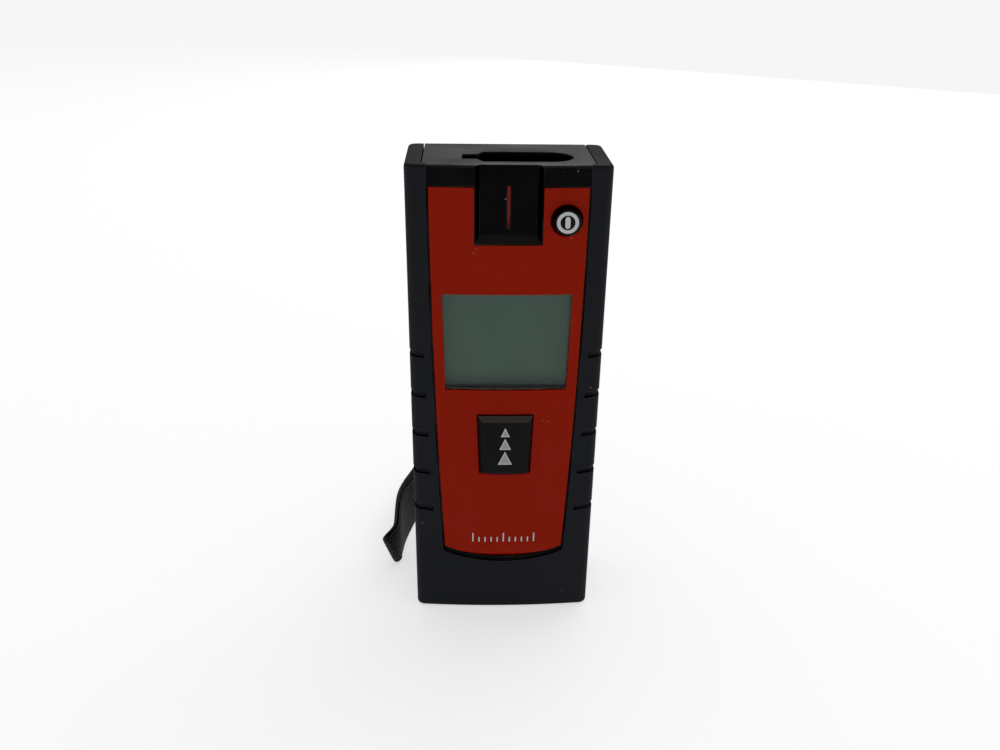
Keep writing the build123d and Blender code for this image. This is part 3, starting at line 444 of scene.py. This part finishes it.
# ---------------------------------------------------------------- printed scale and sighting line
# Pale graduations filled into the plate above its lip, and a red line let into the channel's floor.
# The line runs to a point at its lower end.
LINE_CUTS = 7
CUT_SPACING = 0.05
white_print = dark_plastic("white_print", (0.52, 0.53, 0.525), 0.6, 0.3, 3000.0, 0.00001, 0.0)
coat(white_print, "face_scale", "power_mark")
sight_paint = dark_plastic("sight_paint", (0.20, 0.004, 0.002), 0.5, 0.2, 3000.0, 0.00001, 0.0)
sight_low, sight_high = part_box("sight_line")
middle_x = (sight_low.x + sight_high.x) / 2


def drawn_to_a_point(piece):
    """Cuts the line across, then narrows its lower third towards the end."""
    length = sight_high.z - sight_low.z
    for cut in range(1, LINE_CUTS + 1):
        bpy.ops.object.mode_set(mode="EDIT")
        bpy.ops.mesh.select_all(action="SELECT")
        height = sight_low.z + length * CUT_SPACING * cut
        bpy.ops.mesh.bisect(plane_co=(0, 0, height), plane_no=(0, 0, 1))
        bpy.ops.object.mode_set(mode="OBJECT")
    for vertex in piece.data.vertices:
        share = 0.22 + 0.78 * smooth_step(0.0, 0.35, (vertex.co.z - sight_low.z) / length)
        vertex.co.x = middle_x + (vertex.co.x - middle_x) * 0.8 * share


finer("sight_line", "sighting_line", sight_paint, "root", 0.03 * MM, shape=drawn_to_a_point)

# ---------------------------------------------------------------- display
# Grey-green liquid crystal glass on a white reflector, behind a clear acrylic window that fills the
# plate's opening from behind.  Its index is set below acrylic's own, for a dimmer reflection.
GLASS_GREEN = (0.043, 0.110, 0.077)
GLASS_SHADED_EDGE = (0.034, 0.052, 0.043)
WINDOW_INDEX = 1.3


def crystal_glass():
    """Polariser film, faintly smeared, with painted shade darkening it towards the lower edge and a little
    at the top.
    """
    material, tree, shader = finish_named("crystal_glass", GLASS_GREEN, 0.4, specular=0.12)
    link = tree.links.new
    place = node(tree, "ShaderNodeTexCoord")
    apart = node(tree, "ShaderNodeSeparateXYZ")
    link(place.outputs["Object"], apart.inputs["Vector"])
    smear = node(tree, "ShaderNodeTexNoise", Scale=55.0, Detail=2.0, Distortion=0.6)
    link(place.outputs["Object"], smear.inputs["Vector"])
    low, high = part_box("lcd_glass")
    # Painted shade: darker near the lower edge and a little near the top.
    rise = spread(tree, apart.outputs["Z"], low.z + 0.0015, low.z + 0.006, 0.0, 1.0)
    fall = spread(tree, apart.outputs["Z"], high.z - 0.004, high.z, 1.0, 0.85)
    even = joined(tree, "MULTIPLY", rise, fall)
    cloudy = spread(tree, smear.outputs["Fac"], 0.25, 0.75, 0.9, 1.0)
    amount = joined(tree, "MULTIPLY", even, cloudy)
    shade = node(tree, "ShaderNodeMix", data_type="RGBA")
    shade.inputs["A"].default_value = (*GLASS_SHADED_EDGE, 1)
    shade.inputs["B"].default_value = (*GLASS_GREEN, 1)
    link(amount, shade.inputs["Factor"])
    link(shade.outputs["Result"], shader.inputs["Base Color"])
    return material


coat(crystal_glass(), "lcd_glass")
white_film = dark_plastic("white_film", (0.7, 0.7, 0.68), 0.5, 0.4, 3000.0, 0.00001, 0.0)
coat(white_film, "lcd_reflector")


def clear_acrylic(name, tint, faint_marks):
    """Clear moulded window with a hard coat, and hairline wipe marks in its gloss."""
    material, tree, shader = finish_named(name, tint, 0.03, specular=0.06)
    shader.inputs["Transmission Weight"].default_value = 1.0
    shader.inputs["IOR"].default_value = WINDOW_INDEX
    place = node(tree, "ShaderNodeTexCoord")
    wiped = node(tree, "ShaderNodeTexNoise", Scale=140.0, Detail=5.0, Distortion=1.5)
    tree.links.new(place.outputs["Object"], wiped.inputs["Vector"])
    gloss = spread(tree, wiped.outputs["Fac"], 0.45, 0.75, 0.02, 0.02 + faint_marks)
    tree.links.new(gloss, shader.inputs["Roughness"])
    return material


finer(
    "display_window", "acrylic_window", clear_acrylic("clear_acrylic", (0.96, 0.98, 0.96), 0.02), "root",
    0.08 * MM,
)

# ---------------------------------------------------------------- measuring key
# Black key with a bevelled rim; its upper bevel has gone brown-grey with dust and wear.  Three
# arrowheads are printed on it, each with a paler rim.
BEVEL_HEIGHT = 4.0 * MM
BEVEL_DEPTH = 1.7 * MM
ARROW_RIM = 0.22 * MM
INK_SUNK = 0.015 * MM
key_black = dark_plastic(
    "key_black", (0.0035, 0.0032, 0.0046), 0.45, 0.12, 4200.0, 0.00002, 0.3, wear_and_highlight=0.08,
)
key_dusty = dark_plastic("key_dusty", (0.050, 0.044, 0.038), 0.8, 0.3, 2200.0, 0.00008, 1.0)


def dusty_bevel(piece):
    """Gives the bevel that faces up, at the key's top, its dusty finish."""
    piece.data.materials.append(key_dusty)
    key_low, key_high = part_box("measure_button")
    for face in piece.data.polygons:
        slopes = 0.3 < face.normal.z < 0.96 and face.normal.y < -0.3
        if slopes and face.center.z > key_high.z - BEVEL_HEIGHT and face.center.y < key_low.y + BEVEL_DEPTH:
            face.material_index = 1


finer(
    "measure_button", "measuring_key", key_black, "measure_button", 0.14 * MM, segments=3,
    sharp=30, shape=dusty_bevel,
)
print_grey = dark_plastic("print_grey", (0.30, 0.31, 0.305), 0.6, 0.3, 3000.0, 0.00001, 0.0)


def rimmed_arrows(piece):
    """Sets each arrowhead's middle a hair below its rim."""
    piece.data.materials.append(print_grey)
    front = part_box("measure_marks")[0].y
    select_where(piece, "FACE", lambda face: face.normal.y < -0.99 and face.center.y < front + 0.01 * MM)
    bpy.ops.mesh.inset(thickness=ARROW_RIM, depth=0)
    bpy.ops.transform.translate(value=(0, INK_SUNK, 0))
    bpy.ops.object.mode_set(mode="OBJECT")
    for face in piece.data.polygons:
        if face.select:
            face.material_index = 1


finer(
    "measure_marks", "measuring_arrows", white_print, "measure_button", 0.01 * MM,
    shape=rimmed_arrows,
)

# ---------------------------------------------------------------- power key
# Small round key of the same black plastic, with a coned rim.  Its ring and bar are printed on, and
# its silicone ring seals it against the shell.
finer("power_button", "power_key", key_black, "power_button", 0.16 * MM, segments=3, sharp=30)

# ---------------------------------------------------------------- optics
# Ground receiver lens, sealed beam window and a turned brass barrel with the laser diode and its own
# lens, all in one matt black block.
coat(clear_acrylic("beam_glass", (0.93, 0.97, 0.98), 0.02), "beam_window", "collimator_lens")
lens_glass, _, lens_shader = finish_named("lens_glass", (0.85, 0.92, 1.0), 0.02, specular=0.6)
lens_shader.inputs["Transmission Weight"].default_value = 1.0
lens_shader.inputs["Coat Weight"].default_value = 0.4
lens_shader.inputs["Coat Tint"].default_value = (0.6, 0.5, 1.0, 1)
coat(lens_glass, "receiver_lens")
coat(dark_plastic("optics_black", (0.006, 0.006, 0.006), 0.85, 0.2, 2500.0, 0.00005, 0.0), "optics_block")


def bare_metal(name, colour, roughness, brushed):
    """Bare or plated metal, drawn or turned, with fine lines in its gloss."""
    material, tree, shader = finish_named(name, colour, roughness, metallic=1.0)
    place = node(tree, "ShaderNodeTexCoord")
    stretch = node(tree, "ShaderNodeMapping", Scale=brushed)
    lines = node(tree, "ShaderNodeTexNoise", Scale=2600.0, Detail=3.0)
    tree.links.new(place.outputs["Object"], stretch.inputs["Vector"])
    tree.links.new(stretch.outputs["Vector"], lines.inputs["Vector"])
    gloss = spread(tree, lines.outputs["Fac"], 0.3, 0.7, roughness - 0.08, roughness + 0.12)
    tree.links.new(gloss, shader.inputs["Roughness"])
    bump = node(tree, "ShaderNodeBump", Strength=0.25, Distance=0.00001)
    tree.links.new(lines.outputs["Fac"], bump.inputs["Height"])
    tree.links.new(bump.outputs["Normal"], shader.inputs["Normal"])
    return material


brass = bare_metal("turned_brass", (0.72, 0.50, 0.20), 0.28, (1, 1, 0.05))
tin_plate = bare_metal("tin_plate", (0.62, 0.62, 0.60), 0.3, (0.1, 1, 1))
bright_steel = bare_metal("bright_steel", (0.55, 0.55, 0.54), 0.26, (1, 1, 0.1))
dark_zinc = bare_metal("dark_zinc", (0.30, 0.30, 0.31), 0.34, (1, 1, 1))
coat(brass, "laser_barrel")
coat(tin_plate, "laser_diode", "photodiode", "crystal", "bridge_contact", "plus_contact", "minus_contact")
coat(bright_steel, "switch_domes", "cell_springs", "strap_pin")

# ---------------------------------------------------------------- shell, board and optics screws
# Pan-head screws with a cross recess.  Four zinc plated ones hold the shells together from the back,
# and smaller bright ones hold the board and the optics block.
finer("shell_screws", "case_screws", dark_zinc, "root", 0.10 * MM, sharp=50)
coat(bright_steel, "board_screws", "optics_screws")

# ---------------------------------------------------------------- circuit board and its components
# Green glass-epoxy board with copper tracks under its resist.  It carries the chips, a crystal and a
# buzzer, and amber film leads join it to the diodes.
def green_board():
    """Green resist over copper: tracks show as slightly lighter lines, with tinned dots between."""
    material, tree, shader = finish_named("green_board", (0.01, 0.09, 0.03), 0.35, specular=0.5)
    link = tree.links.new
    place = node(tree, "ShaderNodeTexCoord")
    tracks = node(tree, "ShaderNodeTexBrick", Scale=260.0)
    tracks.inputs["Color1"].default_value = (0.012, 0.10, 0.035, 1)
    tracks.inputs["Color2"].default_value = (0.008, 0.07, 0.025, 1)
    tracks.inputs["Mortar"].default_value = (0.03, 0.17, 0.06, 1)
    turned = node(tree, "ShaderNodeMapping", Rotation=(math.radians(90), 0, 0))
    link(place.outputs["Object"], turned.inputs["Vector"])
    link(turned.outputs["Vector"], tracks.inputs["Vector"])
    link(tracks.outputs["Color"], shader.inputs["Base Color"])
    bump = node(tree, "ShaderNodeBump", Strength=0.3, Distance=0.00003)
    link(tracks.outputs["Fac"], bump.inputs["Height"])
    link(bump.outputs["Normal"], shader.inputs["Normal"])
    return material


coat(green_board(), "main_board", "receiver_board")
chip_black = dark_plastic("chip_black", (0.02, 0.02, 0.021), 0.6, 0.4, 6000.0, 0.00002, 0.0)
coat(chip_black, "processor", "board_chips", "buzzer", "lcd_connector")
coat(dark_plastic("ceramic_tan", (0.30, 0.19, 0.10), 0.5, 0.4, 3000.0, 0.00001, 0.0), "capacitors")
amber_film = dark_plastic("amber_film", (0.35, 0.13, 0.02), 0.35, 0.5, 2000.0, 0.00001, 0.0)
coat(amber_film, "laser_flex", "receiver_flex")

# ---------------------------------------------------------------- cells and their tray
# Two small round cells in plain film sleeves, side by side in a grey moulded tray with coil springs
# and tinned contacts.  They stand opposite ways up, but the band is at the upper end of both.
BAND_LENGTH = 13.0 * MM
BAND_EDGE = 0.2 * MM


def cell_sleeve():
    """Dark sleeve with a broad coppery band round its upper end."""
    material, tree, shader = finish_named("cell_sleeve", (0.02, 0.02, 0.025), 0.3, specular=0.5)
    link = tree.links.new
    place = node(tree, "ShaderNodeTexCoord")
    apart = node(tree, "ShaderNodeSeparateXYZ")
    link(place.outputs["Object"], apart.inputs["Vector"])
    band_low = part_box("left_cell")[1].z - BAND_LENGTH
    band = spread(tree, apart.outputs["Z"], band_low - BAND_EDGE, band_low, 0.0, 1.0)
    shade = node(tree, "ShaderNodeMix", data_type="RGBA")
    shade.inputs["A"].default_value = (0.016, 0.017, 0.02, 1)
    shade.inputs["B"].default_value = (0.42, 0.2, 0.08, 1)
    link(band, shade.inputs["Factor"])
    link(shade.outputs["Result"], shader.inputs["Base Color"])
    scuff = node(tree, "ShaderNodeTexNoise", Scale=300.0, Detail=4.0)
    link(place.outputs["Object"], scuff.inputs["Vector"])
    link(spread(tree, scuff.outputs["Fac"], 0.3, 0.7, 0.22, 0.4), shader.inputs["Roughness"])
    return material


sleeve = cell_sleeve()
finer("left_cell", "left_cell_sleeved", sleeve, "root", 0.08 * MM, sharp=50)
finer("right_cell", "right_cell_sleeved", sleeve, "root", 0.08 * MM, sharp=50)
coat(dark_plastic("tray_grey", (0.06, 0.06, 0.062), 0.55, 0.4, 3500.0, 0.00004, 0.0), "battery_tray")

# ---------------------------------------------------------------- battery door
# Hard black door that swings on two moulded pins at its foot, with a thumb scoop and three grip lines
# under it near the top.
# The door takes the back's paler copy of the plastic: painted light.
finer("battery_door", "cell_door", rear_shell_painted_light, "battery_door", 0.2 * MM, segments=3)

# ---------------------------------------------------------------- type label
# Silver film label let into the back above the door.  It carries only a thin printed frame and four
# blank ruled fields.
FRAME_MARGIN = 0.9 * MM
FRAME_LINE = 0.25 * MM
RULED_FIELDS = 4
HALF_RULE = 0.1 * MM
label_silver = dark_plastic("label_silver", (0.33, 0.335, 0.34), 0.38, 0.5, 2500.0, 0.00001, 0.2)
label_ink = dark_plastic("label_ink", (0.02, 0.02, 0.022), 0.5, 0.4, 3000.0, 0.00001, 0.0)


def ruled_fields(piece):
    """Insets the label's face twice, for a printed frame, and rules it in four blank fields."""
    piece.data.materials.append(label_ink)
    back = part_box("type_label")[1].y
    select_where(piece, "FACE", lambda face: face.normal.y > 0.99 and face.center.y > back - 0.01 * MM)
    bpy.ops.mesh.inset(thickness=FRAME_MARGIN, depth=0)
    bpy.ops.mesh.inset(thickness=FRAME_LINE, depth=0)
    bpy.ops.object.mode_set(mode="OBJECT")
    inner = [face.index for face in piece.data.polygons if face.select]
    label_low, label_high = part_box("type_label")
    height = label_high.z - label_low.z
    middle_z = (label_low.z + label_high.z) / 2
    outer = FRAME_MARGIN + 0.05 * MM
    for face in piece.data.polygons:
        if face.index in inner or face.normal.y < 0.99 or face.center.y < back - 0.01 * MM:
            continue
        reach_x = abs(face.center.x) - (label_high.x - outer)
        reach_z = abs(face.center.z - middle_z) - (height / 2 - outer)
        if max(reach_x, reach_z) < 0:
            face.material_index = 1
    for rule in range(1, RULED_FIELDS):
        select_where(piece, "FACE", lambda face: face.normal.y > 0.99 and face.material_index == 0)
        level = label_low.z + height * rule / RULED_FIELDS
        for edge_z in (level - HALF_RULE, level + HALF_RULE):
            bpy.ops.mesh.select_all(action="SELECT")
            bpy.ops.mesh.bisect(plane_co=(0, 0, edge_z), plane_no=(0, 0, 1))
        bpy.ops.object.mode_set(mode="OBJECT")
        for face in piece.data.polygons:
            if face.normal.y > 0.99 and abs(face.center.z - level) < HALF_RULE / 2:
                face.material_index = 1


finer("type_label", "rating_label", label_silver, "root", 0.03 * MM, shape=ruled_fields)

# ---------------------------------------------------------------- table, light and air
# Pale lit table, an overhead softbox a little behind the instrument and a faint lamp that lights its
# back.  The air is bright near the horizon and dimmer above, and an even white where it is seen.
TABLE_SIZE = 24.0
TABLE_GLOW = 0.55
BRIGHT_AIR, DIM_AIR, SEEN_AIR = 1.0, 0.25, 0.94
bpy.ops.object.select_all(action="DESELECT")
bpy.ops.mesh.primitive_plane_add(size=TABLE_SIZE, location=(0, 0, -0.02 * MM))
table = bpy.context.object
table.name = "table"
bpy.ops.object.transform_apply(location=True)
table_white, _, table_shader = finish_named("table_white", (0.8, 0.8, 0.8), 0.9, specular=0.0)
table_shader.inputs["Emission Color"].default_value = (1, 1, 1, 1)
table_shader.inputs["Emission Strength"].default_value = TABLE_GLOW
table.data.materials.append(table_white)

world = bpy.data.worlds.new("studio")
bpy.context.scene.world = world
world.use_nodes = True
air = world.node_tree
heights = node(air, "ShaderNodeSeparateXYZ")
directions = node(air, "ShaderNodeTexCoord")
air.links.new(directions.outputs["Generated"], heights.inputs["Vector"])
paler_low = spread(air, heights.outputs["Z"], 0.06, 0.26, BRIGHT_AIR, DIM_AIR)
ray = node(air, "ShaderNodeLightPath")
backdrop = node(air, "ShaderNodeMix", data_type="FLOAT")
backdrop.inputs["B"].default_value = SEEN_AIR
air.links.new(ray.outputs["Is Camera Ray"], backdrop.inputs["Factor"])
air.links.new(paler_low, backdrop.inputs["A"])
air.links.new(backdrop.outputs["Result"], air.nodes["Background"].inputs["Strength"])
air.nodes["Background"].inputs["Color"].default_value = (1, 1, 1, 1)

bpy.ops.object.select_all(action="DESELECT")
bpy.ops.object.light_add(type="SUN", rotation=(math.radians(-22), math.radians(6), 0))
overhead = bpy.context.object
overhead.name = "overhead"
overhead.data.energy = 0.66
overhead.data.angle = math.radians(90)

bpy.ops.object.select_all(action="DESELECT")
bpy.ops.object.light_add(type="AREA", location=(0.45, 0.75, 0.55))
behind = bpy.context.object
behind.name = "behind"
behind.data.size = 1.2
behind.data.energy = 2.2
behind.rotation_euler = (Vector((0, 0, 0.06)) - behind.location).to_track_quat("-Z", "Y").to_euler()
behind.visible_camera = False

view = bpy.context.scene.view_settings
view.view_transform = "Standard"
view.look = "None"
view.use_curve_mapping = True
view.curve_mapping.black_level = (0.004, 0.004, 0.004)
view.curve_mapping.update()
